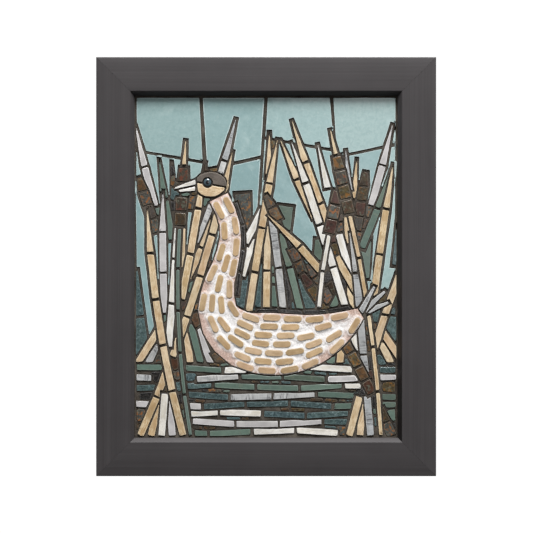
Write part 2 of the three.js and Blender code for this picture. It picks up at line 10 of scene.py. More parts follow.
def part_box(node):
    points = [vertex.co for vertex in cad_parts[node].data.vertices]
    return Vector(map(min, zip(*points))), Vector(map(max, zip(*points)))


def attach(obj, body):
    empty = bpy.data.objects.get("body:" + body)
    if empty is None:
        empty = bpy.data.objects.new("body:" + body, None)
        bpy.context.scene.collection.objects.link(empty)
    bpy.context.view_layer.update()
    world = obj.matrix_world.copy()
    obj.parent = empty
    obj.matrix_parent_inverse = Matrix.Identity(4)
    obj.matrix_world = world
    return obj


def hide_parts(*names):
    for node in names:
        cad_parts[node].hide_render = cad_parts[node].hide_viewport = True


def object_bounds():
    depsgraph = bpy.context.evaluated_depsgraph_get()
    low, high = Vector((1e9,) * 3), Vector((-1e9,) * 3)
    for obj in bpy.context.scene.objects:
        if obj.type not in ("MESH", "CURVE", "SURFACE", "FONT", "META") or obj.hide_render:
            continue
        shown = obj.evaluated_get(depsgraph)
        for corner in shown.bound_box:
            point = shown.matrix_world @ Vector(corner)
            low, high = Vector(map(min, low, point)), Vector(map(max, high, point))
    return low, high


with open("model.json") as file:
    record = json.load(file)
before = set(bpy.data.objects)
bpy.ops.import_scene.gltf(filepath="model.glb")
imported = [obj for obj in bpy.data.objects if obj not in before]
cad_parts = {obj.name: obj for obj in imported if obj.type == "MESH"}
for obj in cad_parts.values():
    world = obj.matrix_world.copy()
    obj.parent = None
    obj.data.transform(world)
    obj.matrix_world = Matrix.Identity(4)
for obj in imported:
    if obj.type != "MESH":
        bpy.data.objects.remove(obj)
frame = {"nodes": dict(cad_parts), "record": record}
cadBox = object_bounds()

mm = 0.001

# heights out from the wall, as the CAD has them
levels = {
    "slabBack": 13.7 * mm,
    "tileFoot": 15.4 * mm,
    "mortar": 17.5 * mm,
    "tilesAbove": 17.7 * mm,
    "birdMortar": 17.8 * mm,
    "plumesAbove": 18.5 * mm,
    "crest": 28 * mm,
}

# the mosaic's place on the wall
field = {"halfWidth": 165.8 * mm, "halfHeight": 215.8 * mm, "middle": -245.3 * mm}

# how high the tops of the mortar bed's tiles are, in millimetres from the wall
kindAtHeight = {
    19.2: "tan", 19.05: "white", 18.9: "lavender", 18.75: "grey", 18.6: "sky",
    18.45: "green", 18.3: "teal", 18.15: "brown", 18.0: "black",
}
kindOfSlot = {
    "tan_stone": "tan", "white_marble": "white", "lavender_ceramic": "lavender", "grey_stone": "grey",
    "sky_glaze": "sky", "green_glass": "green", "teal_glass": "teal", "rust_brown_ceramic": "brown",
    "black_glass": "black", "brown_grey_stone": "cap",
}
slotOfKind = {kind: slot for slot, kind in kindOfSlot.items()}


def spot(place, size, seed):  # a smooth random value from -1 to 1
    return noise.noise(Vector(place) / size + Vector((seed, seed * 0.7, seed * 1.3)))


# colours and material nodes

def paint(red, green, blue):  # a colour as a picture program gives it, 0 to 255
    part = [value / 255 for value in (red, green, blue)]
    return tuple(c / 12.92 if c <= 0.04045 else ((c + 0.055) / 1.055) ** 2.4 for c in part) + (1.0,)


def newMaterial(name, roughness=0.6, **sockets):
    material = bpy.data.materials.new(name)
    material.use_nodes = True
    shader = material.node_tree.nodes["Principled BSDF"]
    shader.inputs["Roughness"].default_value = roughness
    for socket, value in sockets.items():
        shader.inputs[socket.replace("_", " ")].default_value = value
    return material


def addNode(material, kind, settings=None, **sockets):
    node = material.node_tree.nodes.new("ShaderNode" + kind)
    for key, value in (settings or {}).items():
        setattr(node, key, value)
    for socket, value in sockets.items():
        into = node.inputs[int(socket[1:])] if socket[1:].isdigit() else node.inputs[socket.replace("_", " ")]
        if isinstance(value, bpy.types.NodeSocket):
            material.node_tree.links.new(value, into)
        else:
            into.default_value = value
    return node


def readLayer(material, name):  # a value that the mesh carries at its points
    return addNode(material, "Attribute", {"attribute_name": name}).outputs["Fac"]


def objectPlace(material):
    return addNode(material, "TexCoord").outputs["Object"]


def joinTo(material, output, socket):
    material.node_tree.links.new(output, material.node_tree.nodes["Principled BSDF"].inputs[socket])


def addRamp(material, factor, stops, smooth=False):
    ramp = addNode(material, "ValToRGB", Fac=factor)
    ramp.color_ramp.interpolation = "EASE" if smooth else "LINEAR"
    elements = ramp.color_ramp.elements
    while len(elements) < len(stops):
        elements.new(0.5)
    for element, (position, colour) in zip(elements, stops):
        element.position = position
        element.color = colour
    return ramp.outputs["Color"]


def mixColours(material, share, first, second, way="MIX"):
    mix = addNode(material, "Mix", {"data_type": "RGBA", "blend_type": way}, _0=share, _6=first, _7=second)
    return mix.outputs[2]


def doMaths(material, operation, first, second=0.0):
    return addNode(material, "Math", {"operation": operation}, _0=first, _1=second).outputs[0]


def multiply(material, first, second):
    return doMaths(material, "MULTIPLY", first, second)


def addNoise(material, place, scale, detail=4.0, roughness=0.55, seed=None, distortion=0.0):
    settings = {"noise_dimensions": "3D" if seed is None else "4D"}
    made = addNode(material, "TexNoise", settings, Vector=place, Scale=scale, Detail=detail,
                   Roughness=roughness, Distortion=distortion)
    if seed is not None:
        material.node_tree.links.new(seed, made.inputs["W"])
    return made.outputs["Fac"]


def addBump(material, height, distance, strength=1.0, after=None):
    bump = addNode(material, "Bump", Height=height, Strength=strength, Distance=distance)
    if after is not None:
        material.node_tree.links.new(after, bump.inputs["Normal"])
    return bump.outputs["Normal"]


def stretched(material, place, along, across, depth=1.0):
    return addNode(material, "Mapping", Vector=place, Scale=(along, across, depth)).outputs["Vector"]


def grey(value):  # a plain grey for a ramp that only gives a share
    return (value, value, value, 1)


def shareOver(material, factor, span, low, high, smooth=True):  # a share that changes over a span
    return addRamp(material, factor, [(span[0], grey(low)), (span[1], grey(high))], smooth)


def shades(*rows):  # evenly spaced stops for a ramp
    return [(i / (len(rows) - 1), paint(*row)) for i, row in enumerate(rows)]


# what all the tiles share
finish = {
    "seedSpread": 97.0, "rimFrom": (0.35, 0.55), "rimLeast": 0.25, "rimShare": 0.8,
    "patchFrom": (0.42, 0.66), "clusterFrom": (0.42, 0.56), "clusterLeast": 0.15,
    "pitFrom": 0.26, "pitFade": 0.02, "cloudScale": 60.0, "cloudFrom": (0.3, 0.7), "cloudShade": 0.8,
    "grain": 0.3 * mm, "relief": 0.5 * mm,
    "dappleFrom": (0.38, 0.68), "fleckRelief": 0.15 * mm, "fleckBump": 0.25, "waveRelief": 0.6 * mm,
}


# what each kind of stone shows, with sizes in millimetres, colours from 0 to 255 and the rest as shares; the
# rim colour is both a chipped edge and a painted highlight
tileFinishes = {
    "tan": {
        "tones": [(184, 153, 110), (206, 180, 140), (219, 199, 168), (195, 165, 124), (213, 188, 156),
                  (190, 161, 116), (205, 175, 141)],
        "rim": (236, 218, 186), "patch": (176, 140, 96), "patchSize": 7, "patchShare": 0.7,
        "vein": (236, 218, 184), "veinAlong": 0.1, "veinAcross": 1.0, "veinSize": 2.2,
        "veinWidth": 0.09, "veinShare": 0.8, "veinBend": 2.2, "clusterSize": 14,
        "speck": (132, 100, 70), "speckSize": 0.9, "speckShare": 0.34,
        "roughness": (0.62, 0.85), "bump": 0.16,
    },
    "white": {
        "tones": [(242, 240, 234), (232, 229, 221), (246, 244, 240), (236, 231, 220)],
        "rim": (248, 247, 244), "patch": (210, 201, 182), "patchSize": 8, "patchShare": 0.7,
        "vein": (206, 202, 196), "veinAlong": 0.5, "veinAcross": 1.0, "veinSize": 5,
        "veinWidth": 0.05, "veinShare": 0.6, "veinBend": 2.5, "clusterSize": 18,
        "speck": (196, 190, 178), "speckSize": 1.1, "speckShare": 0.32, "roughness": (0.3, 0.6), "bump": 0.06,
    },
    "lavender": {
        "tones": [(206, 203, 201), (198, 195, 194), (212, 209, 206), (192, 190, 190)],
        "rim": (246, 244, 243), "patch": (182, 178, 179), "patchSize": 9, "patchShare": 0.4,
        "vein": (184, 180, 181), "veinAlong": 1.0, "veinAcross": 0.08, "veinSize": 0.8,
        "veinWidth": 0.14, "veinShare": 0.5, "veinBend": 0.2, "clusterSize": 10,
        "speck": (170, 164, 168), "speckSize": 0.7, "speckShare": 0.3, "roughness": (0.42, 0.6), "bump": 0.08,
    },
    "grey": {
        "tones": [(190, 191, 191), (176, 179, 180), (202, 201, 198), (182, 186, 188)],
        "rim": (218, 218, 217), "patch": (150, 153, 155), "patchSize": 8, "patchShare": 0.6,
        "vein": (84, 84, 86), "veinAlong": 1.0, "veinAcross": 0.05, "veinSize": 1.6,
        "veinWidth": 0.07, "veinShare": 0.95, "veinBend": 0.25, "clusterSize": 12, "clusterFrom": (0.5, 0.6),
        "speck": (128, 126, 124), "speckSize": 0.8, "speckShare": 0.3, "roughness": (0.4, 0.7), "bump": 0.22,
    },
    "cap": {
        "tones": [(92, 84, 77), (104, 95, 87), (84, 77, 71)],
        "rim": (128, 120, 110), "patch": (66, 60, 55), "patchSize": 7, "patchShare": 0.5,
        "vein": (122, 113, 104), "veinAlong": 0.3, "veinAcross": 1.0, "veinSize": 2.5,
        "veinWidth": 0.06, "veinShare": 0.7, "veinBend": 1.5, "clusterSize": 12,
        "speck": (54, 49, 45), "speckSize": 0.9, "speckShare": 0.4, "roughness": (0.55, 0.8), "bump": 0.16,
    },
}
tileFinishes["plume"] = dict(
    tileFinishes["tan"], rim=(214, 190, 154), patch=(172, 138, 98), patchShare=0.6, vein=(214, 190, 152),
    veinWidth=0.07, veinShare=0.6, speck=(134, 102, 72), bump=0.14,
    tones=[(188, 155, 112), (204, 173, 132), (180, 151, 108), (214, 184, 150), (192, 160, 116),
           (208, 174, 142)],
)


def paleRimAndHighlight(material, colour, patches, rim):  # the chipped edge of a cut, paler in places, together with a painted highlight round the top
    broken = shareOver(material, patches, finish["rimFrom"], finish["rimLeast"], 1)
    share = multiply(material, readLayer(material, "rim"), broken)
    return mixColours(material, multiply(material, share, finish["rimShare"]), colour, paint(*rim))


def tileNodes(material):  # a tile's tone, a noise seed of its own, and the place along it
    tone = readLayer(material, "tone")
    own = multiply(material, tone, finish["seedSpread"])
    return tone, own, addNode(material, "UVMap", {"uv_map": "along"}).outputs["UV"]


def stoneMaterial(kind):  # cut stone or unglazed ceramic, with its veins along the tile
    look = tileFinishes[kind]
    material = newMaterial(kind + "Tile", Specular_IOR_Level=0.45)
    tone, own, place = tileNodes(material)
    colour = addRamp(material, tone, shades(*look["tones"]))
    broad = stretched(material, place, 0.45, 1.3)
    patches = addNoise(material, broad, 1000 / look["patchSize"], 4.0, 0.55, own, 1.0)
    share = shareOver(material, patches, finish["patchFrom"], 0, look["patchShare"])
    colour = mixColours(material, share, colour, paint(*look["patch"]))
    lengthways = stretched(material, place, look["veinAlong"], look["veinAcross"])
    veins = addNoise(material, lengthways, 1000 / look["veinSize"], 3.0, 0.5, own, look["veinBend"])
    half = look["veinWidth"]
    stops = [(0.5 - half, grey(0)), (0.5, grey(look["veinShare"])), (0.5 + half, grey(0))]
    line = addRamp(material, veins, stops, True)
    grouped = stretched(material, place, 1.0, 0.4)
    clusters = addNoise(material, grouped, 1000 / look["clusterSize"], 2.0, 0.5, own)
    span = look.get("clusterFrom", finish["clusterFrom"])
    line = multiply(material, line, shareOver(material, clusters, span, finish["clusterLeast"], 1))
    colour = mixColours(material, line, colour, paint(*look["vein"]))
    specks = addNoise(material, place, 1000 / look["speckSize"], 3.0, 0.7, own)
    pits = shareOver(material, specks, (finish["pitFrom"], look["speckShare"] + finish["pitFade"]), 1, 0)
    colour = mixColours(material, pits, colour, paint(*look["speck"]))
    cloud = addNoise(material, place, finish["cloudScale"], 3.0, 0.5, own)
    light = shareOver(material, cloud, finish["cloudFrom"], finish["cloudShade"], 1)
    colour = mixColours(material, 1.0, colour, light, "MULTIPLY")
    joinTo(material, paleRimAndHighlight(material, colour, patches, look["rim"]), "Base Color")
    low, high = look["roughness"]
    joinTo(material, addNode(material, "MapRange", _0=patches, _3=low, _4=high).outputs[0], "Roughness")
    relief = doMaths(material, "SUBTRACT", multiply(material, line, -1.0), pits)
    fine = addBump(material, specks, finish["grain"], look["bump"])
    joinTo(material, addBump(material, relief, finish["relief"], look["bump"], fine), "Normal")
    return material


# the same for glass and glaze
glazes = {
    "sky": {
        "tones": [(144, 172, 172), (153, 179, 178), (136, 165, 167), (158, 182, 180)],
        "rim": (226, 240, 238), "dapple": (131, 159, 159), "dappleSize": 6, "dappleShare": 0.5,
        "fleckAndGlint": [(176, 194, 190)], "fleckSize": 3, "fleckFrom": (0.55, 0.75), "fleckAndGlintShare": 0.4,
        # the sky's broad pale blots are painted glare
        "blotAndGlare": (186, 206, 204), "blotAndGlareSize": 34, "blotAndGlareFrom": (0.54, 0.84), "blotAndGlareShare": 0.5,
        "coat": 0.35, "roughness": 0.16, "wave": 0.35, "waveSize": 9,
    },
    "green": {
        "tones": [(96, 118, 107), (86, 106, 97), (108, 128, 115), (86, 98, 84), (100, 118, 112)],
        "rim": (136, 150, 140), "dapple": (76, 92, 83), "dappleSize": 7, "dappleShare": 0.45,
        "fleckAndGlint": [(130, 148, 137)], "fleckSize": 4, "fleckFrom": (0.55, 0.75), "fleckAndGlintShare": 0.25,
        "blotAndGlare": (112, 120, 104), "blotAndGlareSize": 7, "blotAndGlareFrom": (0.6, 0.68), "blotAndGlareShare": 0.4,
        "coat": 0.1, "roughness": 0.28, "wave": 0.3, "waveSize": 5,
    },
    "teal": {
        "tones": [(72, 92, 92), (62, 78, 79), (86, 106, 103), (58, 74, 72), (76, 95, 98)],
        "rim": (122, 142, 142), "dapple": (42, 58, 62), "dappleSize": 4, "dappleShare": 0.85,
        # the teal's pale wavy flecks are painted glints
        "fleckAndGlint": [(138, 158, 160)], "fleckSize": 3, "fleckFrom": (0.55, 0.66), "fleckAndGlintShare": 0.55,
        "blotAndGlare": (92, 118, 122), "blotAndGlareSize": 6, "blotAndGlareFrom": (0.56, 0.64), "blotAndGlareShare": 0.4,
        "coat": 0.35, "roughness": 0.18, "wave": 0.9, "waveSize": 3,
    },
    "black": {
        "tones": [(36, 34, 32), (28, 27, 26), (46, 43, 40)],
        "rim": (112, 110, 108), "dapple": (18, 17, 17), "dappleSize": 4, "dappleShare": 0.7,
        "fleckAndGlint": [(96, 92, 88)], "fleckSize": 2, "fleckFrom": (0.58, 0.68), "fleckAndGlintShare": 0.5,
        "blotAndGlare": (60, 56, 52), "blotAndGlareSize": 5, "blotAndGlareFrom": (0.58, 0.63), "blotAndGlareShare": 0.6,
        "coat": 0.3, "roughness": 0.14, "wave": 0.9, "waveSize": 2.4,
    },
    "brown": {
        "tones": [(70, 58, 40), (84, 72, 42), (58, 49, 40), (80, 86, 84), (98, 70, 38), (74, 42, 34),
                  (86, 92, 88), (62, 54, 42)],
        "rim": (116, 106, 92), "dapple": (44, 36, 29), "dappleSize": 5, "dappleShare": 0.85,
        "fleckAndGlint": [(66, 38, 33), (136, 92, 36), (58, 46, 36), (160, 104, 40), (74, 60, 34), (60, 34, 30),
                  (154, 94, 38), (92, 44, 36)],
        "fleckSize": 5, "fleckFrom": (0.52, 0.58), "fleckAndGlintShare": 0.8,
        "blotAndGlare": (98, 102, 88), "blotAndGlareSize": 6, "blotAndGlareFrom": (0.6, 0.65), "blotAndGlareShare": 0.6,
        "coat": 0.08, "roughness": 0.3, "wave": 0.6, "waveSize": 2.8,
    },
}


def glazeMaterial(kind):  # glass and glaze: clouded, with flecks, with blots that are painted glare on the sky, and a surface that isn't quite flat
    look = glazes[kind]
    coat = {"Coat_Weight": look["coat"], "Coat_Roughness": 0.08}
    material = newMaterial(kind + "Tile", look["roughness"], Specular_IOR_Level=0.4, **coat)
    tone, own, place = tileNodes(material)
    colour = addRamp(material, tone, shades(*look["tones"]))
    dapples = addNoise(material, place, 1000 / look["dappleSize"], 5.0, 0.62, own, 0.8)
    share = shareOver(material, dapples, finish["dappleFrom"], 0, look["dappleShare"])
    colour = mixColours(material, share, colour, paint(*look["dapple"]))
    broad = stretched(material, place, 0.8, 1.0)
    # flecks of another tone; on the teal they are painted glints
    flecks = addNoise(material, broad, 1000 / look["fleckSize"], 4.0, 0.6, own, 0.9)
    share = shareOver(material, flecks, look["fleckFrom"], 0, look["fleckAndGlintShare"], smooth=False)
    second = paint(*look["fleckAndGlint"][0])
    if len(look["fleckAndGlint"]) > 1:
        second = addRamp(material, tone, shades(*look["fleckAndGlint"]))
    colour = mixColours(material, share, colour, second)
    # blots of another tone; on the sky they are painted glare
    another = doMaths(material, "ADD", own, 31.0)
    other = addNoise(material, place, 1000 / look["blotAndGlareSize"], 2.0, 0.45, another, 1.2)
    blotAndGlareMask = shareOver(material, other, look["blotAndGlareFrom"], 0, look["blotAndGlareShare"])
    colour = mixColours(material, blotAndGlareMask, colour, paint(*look["blotAndGlare"]))
    joinTo(material, paleRimAndHighlight(material, colour, dapples, look["rim"]), "Base Color")
    waves = addNoise(material, place, 1000 / look["waveSize"], 2.0, 0.5, own)
    fine = addBump(material, flecks, finish["fleckRelief"], finish["fleckBump"])
    joinTo(material, addBump(material, waves, finish["waveRelief"], look["wave"], fine), "Normal")
    return material


def cutEdgeMaterial(name, pale, dark):  # the clay or raw stone that shows where a tile was nipped, darkened for grout smear and painted shade in the joints
    material = newMaterial(name, 0.8)
    place = objectPlace(material)
    grains = addNoise(material, place, 900.0, 5.0, 0.7)
    joinTo(material, addRamp(material, grains, [(0.3, paint(*dark)), (0.7, paint(*pale))]), "Base Color")
    joinTo(material, addBump(material, grains, finish["grain"], 0.5), "Normal")
    return material


# the tiles' shapes, in millimetres, and their tilt in degrees
tileShapes = {
    "tan": dict(shrink=0.6, slant=1.3, corner=0.9, rim=0.45, wander=0.35, dent=0.22, tilt=1.1, lift=0.12),
    "white": dict(shrink=0.6, slant=1.2, corner=0.5, rim=0.3, wander=0.3, dent=0.08, tilt=1.2, lift=0.15),
    "lavender": dict(shrink=0.6, slant=0.7, corner=1.6, rim=0.5, wander=0.12, dent=0.05, tilt=1.0, lift=0.15),
    "grey": dict(shrink=0.6, slant=1.2, corner=0.7, rim=0.35, wander=0.35, dent=0.14, tilt=1.3, lift=0.2),
    "sky": dict(shrink=1.0, slant=0, corner=0.8, rim=0.4, wander=0.3, dent=0.16, tilt=0.35, lift=0.15),
    "green": dict(shrink=0.8, slant=1, corner=0.5, rim=0.35, wander=0.25, dent=0.12, tilt=1.2, lift=0.25),
    "teal": dict(shrink=0.8, slant=1, corner=0.5, rim=0.35, wander=0.3, dent=0.16, tilt=1.2, lift=0.25),
    "brown": dict(shrink=0.35, slant=1.1, corner=0.8, rim=0.5, wander=0.35, dent=0.2, tilt=1.6, lift=0.25),
    "black": dict(shrink=0.3, slant=1.2, corner=0.5, rim=0.4, wander=0.25, dent=0.18, tilt=1.6, lift=0.2),
    "cap": dict(shrink=0.2, slant=0, corner=0.6, rim=0.5, wander=0.3, dent=0.3, tilt=0.4, lift=0.1),
}
largeSkyShrink = 1.5  # the wide joints round the large sky pieces
cutting = {
    "longSide": 7 * mm, "wanderSize": 6 * mm, "cornerAngle": 20, "grid": 4.2 * mm, "rimFade": 0.8 * mm,
    "slantOfLength": 0.12, "slantOfWidth": 0.3, "broadDent": 7 * mm, "smallDent": 2.6 * mm, "smallShare": 0.4,
    "sink": 0.5 * mm, "rise": 0.35 * mm,
}


def picked(result, kind):  # the points or faces among what an operator made
    return [g for g in result["geom"] if isinstance(g, getattr(bmesh.types, kind))]


def dropFaces(shape, faces):
    bmesh.ops.delete(shape, geom=faces, context="FACES")


def cadSurface(node):  # a CAD node's faces, with their corners joined
    shape = bmesh.new()
    shape.from_mesh(frame["nodes"][node].data)
    bmesh.ops.remove_doubles(shape, verts=shape.verts, dist=0.002 * mm)
    return shape


def joinFlatFaces(shape):  # the triangles of a flat face become one face again
    bmesh.ops.dissolve_limit(shape, angle_limit=math.radians(1), verts=shape.verts, edges=shape.edges)


def flatTops(node, height):  # a CAD node's flat faces that lie above a height, one a tile
    shape = cadSurface(node)
    dropFaces(shape, [f for f in shape.faces if f.normal.y > -0.99 or f.calc_center_median().y > -height])
    joinFlatFaces(shape)
    shape.normal_update()
    return shape


def isCorner(v):  # where an outline turns, not just a point along a cut
    first, second = [(e.other_vert(v).co - v.co).normalized() for e in v.link_edges]
    return first.angle(-second) > math.radians(cutting["cornerAngle"])


def insetTiles(shape, faces, thickness):  # an even inset, with the corners that would shoot out held back
    ring = bmesh.ops.inset_individual(shape, faces=faces, thickness=thickness, use_even_offset=True)["faces"]
    inner = {v for f in faces for v in f.verts}
    for v in inner:
        for e in v.link_edges:
            other = e.other_vert(v)
            away = v.co - other.co
            if other not in inner and away.length > 2 * thickness:
                v.co = other.co + away * (2 * thickness / away.length)
    return ring


def roughenOutline(shape, look, seed):  # long straight cuts wander a little, as nipped ones do
    for cuts in (1, 2):
        longEdges = [e for e in shape.edges if e.calc_length() > cutting["longSide"]]
        bmesh.ops.bisect_edges(shape, edges=longEdges, cuts=cuts)
    for v in shape.verts:
        place = v.co.copy()
        v.co.x += look["wander"] * mm * spot(place, cutting["wanderSize"], seed)
        v.co.z += look["wander"] * mm * spot(place, cutting["wanderSize"], seed + 31)


def roundOff(shape, geometry, offset, segments=2, affect="EDGES"):
    return bmesh.ops.bevel(shape, geom=list(geometry), affect=affect, offset=offset, segments=segments,
                           profile=0.5, clamp_overlap=True, material=-1)


def cutGrid(shape, faces, spacing):  # cuts across the tops, so that they can be shaped
    for axis in (0, 2):
        low = min(v.co[axis] for f in faces for v in f.verts)
        high = max(v.co[axis] for f in faces for v in f.verts)
        normal = Vector((1, 0, 0)) if axis == 0 else Vector((0, 0, 1))
        steps = int((high - low) / spacing)
        for i in range(1, steps + 1):
            at = low + (high - low) * i / (steps + 1)
            geometry = set(faces)
            for f in faces:
                geometry.update(f.edges)
                geometry.update(f.verts)
            cut = bmesh.ops.bisect_plane(shape, geom=list(geometry), dist=0.01 * mm, plane_co=normal * at,
                                         plane_no=normal)
            faces = picked(cut, "BMFace")


def describeTiles(shape, look, draw):  # each tile's middle, axis and chances, with its number on its points
    mark = shape.verts.layers.float.new("tile")
    toneLayer = shape.verts.layers.float.new("tone")
    tiles = []
    for number, f in enumerate(list(shape.faces)):
        along = max(f.edges, key=lambda e: e.calc_length())
        middle = f.calc_center_median()
        tiles.append({
            "top": -middle.y, "middle": middle,
            "axis": (along.verts[1].co - along.verts[0].co).normalized(),
            "offset": Vector((draw.uniform(0, 3), draw.uniform(0, 3))),
            "turn": [math.tan(math.radians(draw.gauss(0, look["tilt"]))) for _ in range(2)],
            "lift": -look["lift"] * mm * draw.random(),
        })
        tone = draw.random()
        for v in f.verts:
            v[mark] = number
            v[toneLayer] = tone
    return tiles


def tileOf(v, tiles, shape):
    return tiles[int(round(v[shape.verts.layers.float["tile"]]))]


def slantEnds(shape, tiles, look, draw):  # the ends of a tile aren't cut quite square
    for v in shape.verts:
        tile = tileOf(v, tiles, shape)
        along = (v.co - tile["middle"]).dot(tile["axis"])
        width = min(e.calc_length() for e in v.link_edges)
        most = min(cutting["slantOfLength"] * abs(along), cutting["slantOfWidth"] * width)
        slant = min(look["slant"] * mm, most)
        v.co -= tile["axis"] * math.copysign(slant * draw.random(), along)


def raiseTiles(shape, look, foot):  # up from the mortar, with worn corners and a pale rim round each top, which is both a chipped edge and a painted highlight
    roundOff(shape, [v for v in shape.verts if isCorner(v)], look["corner"] * mm, affect="VERTICES")
    raised = bmesh.ops.extrude_face_region(shape, geom=shape.faces[:])
    high = set(picked(raised, "BMVert"))
    tops = picked(raised, "BMFace")
    for v in shape.verts:
        if v not in high:
            v.co.y = -foot
    rounded = set(roundOff(shape, {e for f in tops for e in f.edges}, look["rim"] * mm)["faces"])
    flat = [f for f in shape.faces if f not in rounded and f.normal.y < -0.95]
    tops = [f for f in flat if f.calc_center_median().y < -foot - 0.5 * mm]
    # the rim layer marks where the chipped edge and the painted highlight are coloured in
    rimLayer = shape.verts.layers.float.new("rim")
    for v in shape.verts:
        v[rimLayer] = 1.0
    insetTiles(shape, tops, cutting["rimFade"])
    for v in {v for f in tops for v in f.verts}:
        v[rimLayer] = 0.0
    cutGrid(shape, tops, cutting["grid"])


def shapeTops(shape, tiles, look, foot, seed):  # each top tilts and is a little uneven
    for v in shape.verts:
        tile = tileOf(v, tiles, shape)
        share = (-v.co.y - foot) / (tile["top"] - foot)
        if share <= 0.01:
            continue
        away = v.co - tile["middle"]
        flat = (v.co.x, 0, v.co.z)
        change = tile["lift"] + tile["turn"][0] * away.x + tile["turn"][1] * away.z
        change += look["dent"] * mm * spot(flat, cutting["broadDent"], seed)
        change += cutting["smallShare"] * look["dent"] * mm * spot(flat, cutting["smallDent"], seed)
        v.co.y -= max(-cutting["sink"], min(cutting["rise"], change)) * share


def mapTiles(shape, tiles):  # the place along each tile, for its veins, and the cut sides' own material
    uv = shape.loops.layers.uv.new("along")
    shape.normal_update()
    for f in shape.faces:
        tile = tileOf(f.verts[0], tiles, shape)
        axis = tile["axis"]
        across = Vector((-axis.z, 0, axis.x))
        for loop in f.loops:
            away = loop.vert.co - tile["middle"]
            shift = tile["offset"] + Vector((0.7, 0.7)) * away.y
            loop[uv].uv = Vector((away.dot(axis), away.dot(across))) + shift
        f.material_index = 1 if f.normal.y > -0.55 else 0


def makeTiles(name, kind, shape, seed, replaces=(), foot=levels["tileFoot"], shrink=None):
    look = tileShapes[kind]
    draw = random.Random(seed)
    tiles = describeTiles(shape, look, draw)
    ring = insetTiles(shape, shape.faces[:], (shrink or look["shrink"]) * mm)
    dropFaces(shape, ring)
    slantEnds(shape, tiles, look, draw)
    roughenOutline(shape, look, seed)
    if kind != "plume":
        addShape(cutOutlines, shape)
    raiseTiles(shape, look, foot)
    shapeTops(shape, tiles, look, foot, seed)
    mapTiles(shape, tiles)
    finishPiece(name, shape, [tileMaterials[kind], edgeMaterials[kind]], replaces)


def addObject(name, data):
    thing = bpy.data.objects.new(name, data)
    bpy.context.scene.collection.objects.link(thing)
    return thing


def finishPiece(name, shape, materials, replaces=(), crease=38):
    bmesh.ops.recalc_face_normals(shape, faces=shape.faces)
    mesh = bpy.data.meshes.new(name)
    shape.to_mesh(mesh)
    shape.free()
    for f in mesh.polygons:
        f.use_smooth = True
    mesh.set_sharp_from_angle(angle=math.radians(crease))
    for material in materials:
        mesh.materials.append(material)
    piece = addObject(name, mesh)
    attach(piece, "root")
    if replaces:
        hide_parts(*replaces)


def addShape(together, shape):
    flat = bpy.data.meshes.new("flat")
    shape.to_mesh(flat)
    together.from_mesh(flat)
    bpy.data.meshes.remove(flat)


def gather(*shapes):
    together = bmesh.new()
    for shape in shapes:
        addShape(together, shape)
    return together


def wallsOf(*shapes):  # walls along the outlines, to measure distances across the panel
    walls = gather(*shapes)
    bmesh.ops.delete(walls, geom=walls.faces[:], context="FACES_ONLY")
    for v in walls.verts:
        v.co.y = -2 * mm
    raised = bmesh.ops.extrude_edge_only(walls, edges=walls.edges[:])
    bmesh.ops.translate(walls, verts=picked(raised, "BMVert"), vec=(0, 4 * mm, 0))
    return BVHTree.FromBMesh(walls)


def coversOf(*shapes):  # the outlines laid flat, to tell what lies under them
    flat = gather(*shapes)
    for v in flat.verts:
        v.co.y = 0
    return BVHTree.FromBMesh(flat)


def isCovered(covers, place):
    return covers.ray_cast(Vector((place.x, -5 * mm, place.z)), Vector((0, 1, 0)))[0] is not None


def gapTo(walls, place):  # how far a place is from the nearest outline
    return walls.find_nearest(Vector((place.x, 0, place.z)))[3]


def birdOutline():  # the outline of the bird's mortar, taken from the back of its CAD solid
    shape = cadSurface("bird_body")
    dropFaces(shape, [f for f in shape.faces if f.normal.y < 0.99])
    joinFlatFaces(shape)
    bmesh.ops.reverse_faces(shape, faces=shape.faces)
    return shape


def smoothly(low, high, value):  # 0 below low, 1 above high
    share = max(0.0, min(1.0, (value - low) / (high - low)))
    return share * share * (3 - 2 * share)


tileMaterials = {kind: stoneMaterial(kind) for kind in tileFinishes}
tileMaterials.update({kind: glazeMaterial(kind) for kind in glazes})
cutEdges = {  # the pale and dark grains of a cut side, and the kinds of tile that show them; all but the sky's pale clay are darker than the tops, for grout smear and painted shade in the joints
    "paleClay": ((180, 192, 189), (138, 155, 153), ["sky"]),
    "darkGlassEdge": ((58, 62, 60), (34, 36, 36), ["green", "teal", "black"]),
    "brownClay": ((74, 60, 50), (44, 36, 30), ["brown", "cap"]),
    "sawnStone": ((176, 158, 128), (120, 104, 82), ["tan", "plume"]),
    "sawnMarble": ((204, 200, 194), (150, 146, 140), ["white", "lavender", "grey"]),
}
edgeMaterials = {}
for name, (pale, dark, kinds) in cutEdges.items():
    edgeMaterials.update(dict.fromkeys(kinds, cutEdgeMaterial(name, pale, dark)))
print("materials of the tiles are ready")


# rows of tiles: each CAD row gets a finer one, and the rows in the mortar bed get one piece a kind
slotOfNode = {part["node"]: part["material_slot"] for part in frame["record"]["subparts"]}
outlines = bmesh.new()  # every tile's outline, for the slivers between them
cutOutlines = bmesh.new()  # the same as the tiles are really cut, for the mortar

seed = 1
for node in sorted(frame["nodes"]):
    kind = kindOfSlot.get(slotOfNode[node])
    if kind is None:
        continue
    shape = flatTops(node, levels["tilesAbove"])
    addShape(outlines, shape)
    shrink = largeSkyShrink if kind == "sky" else None
    makeTiles(node + "_tiles", kind, shape, seed, [node], shrink=shrink)
    seed += 1

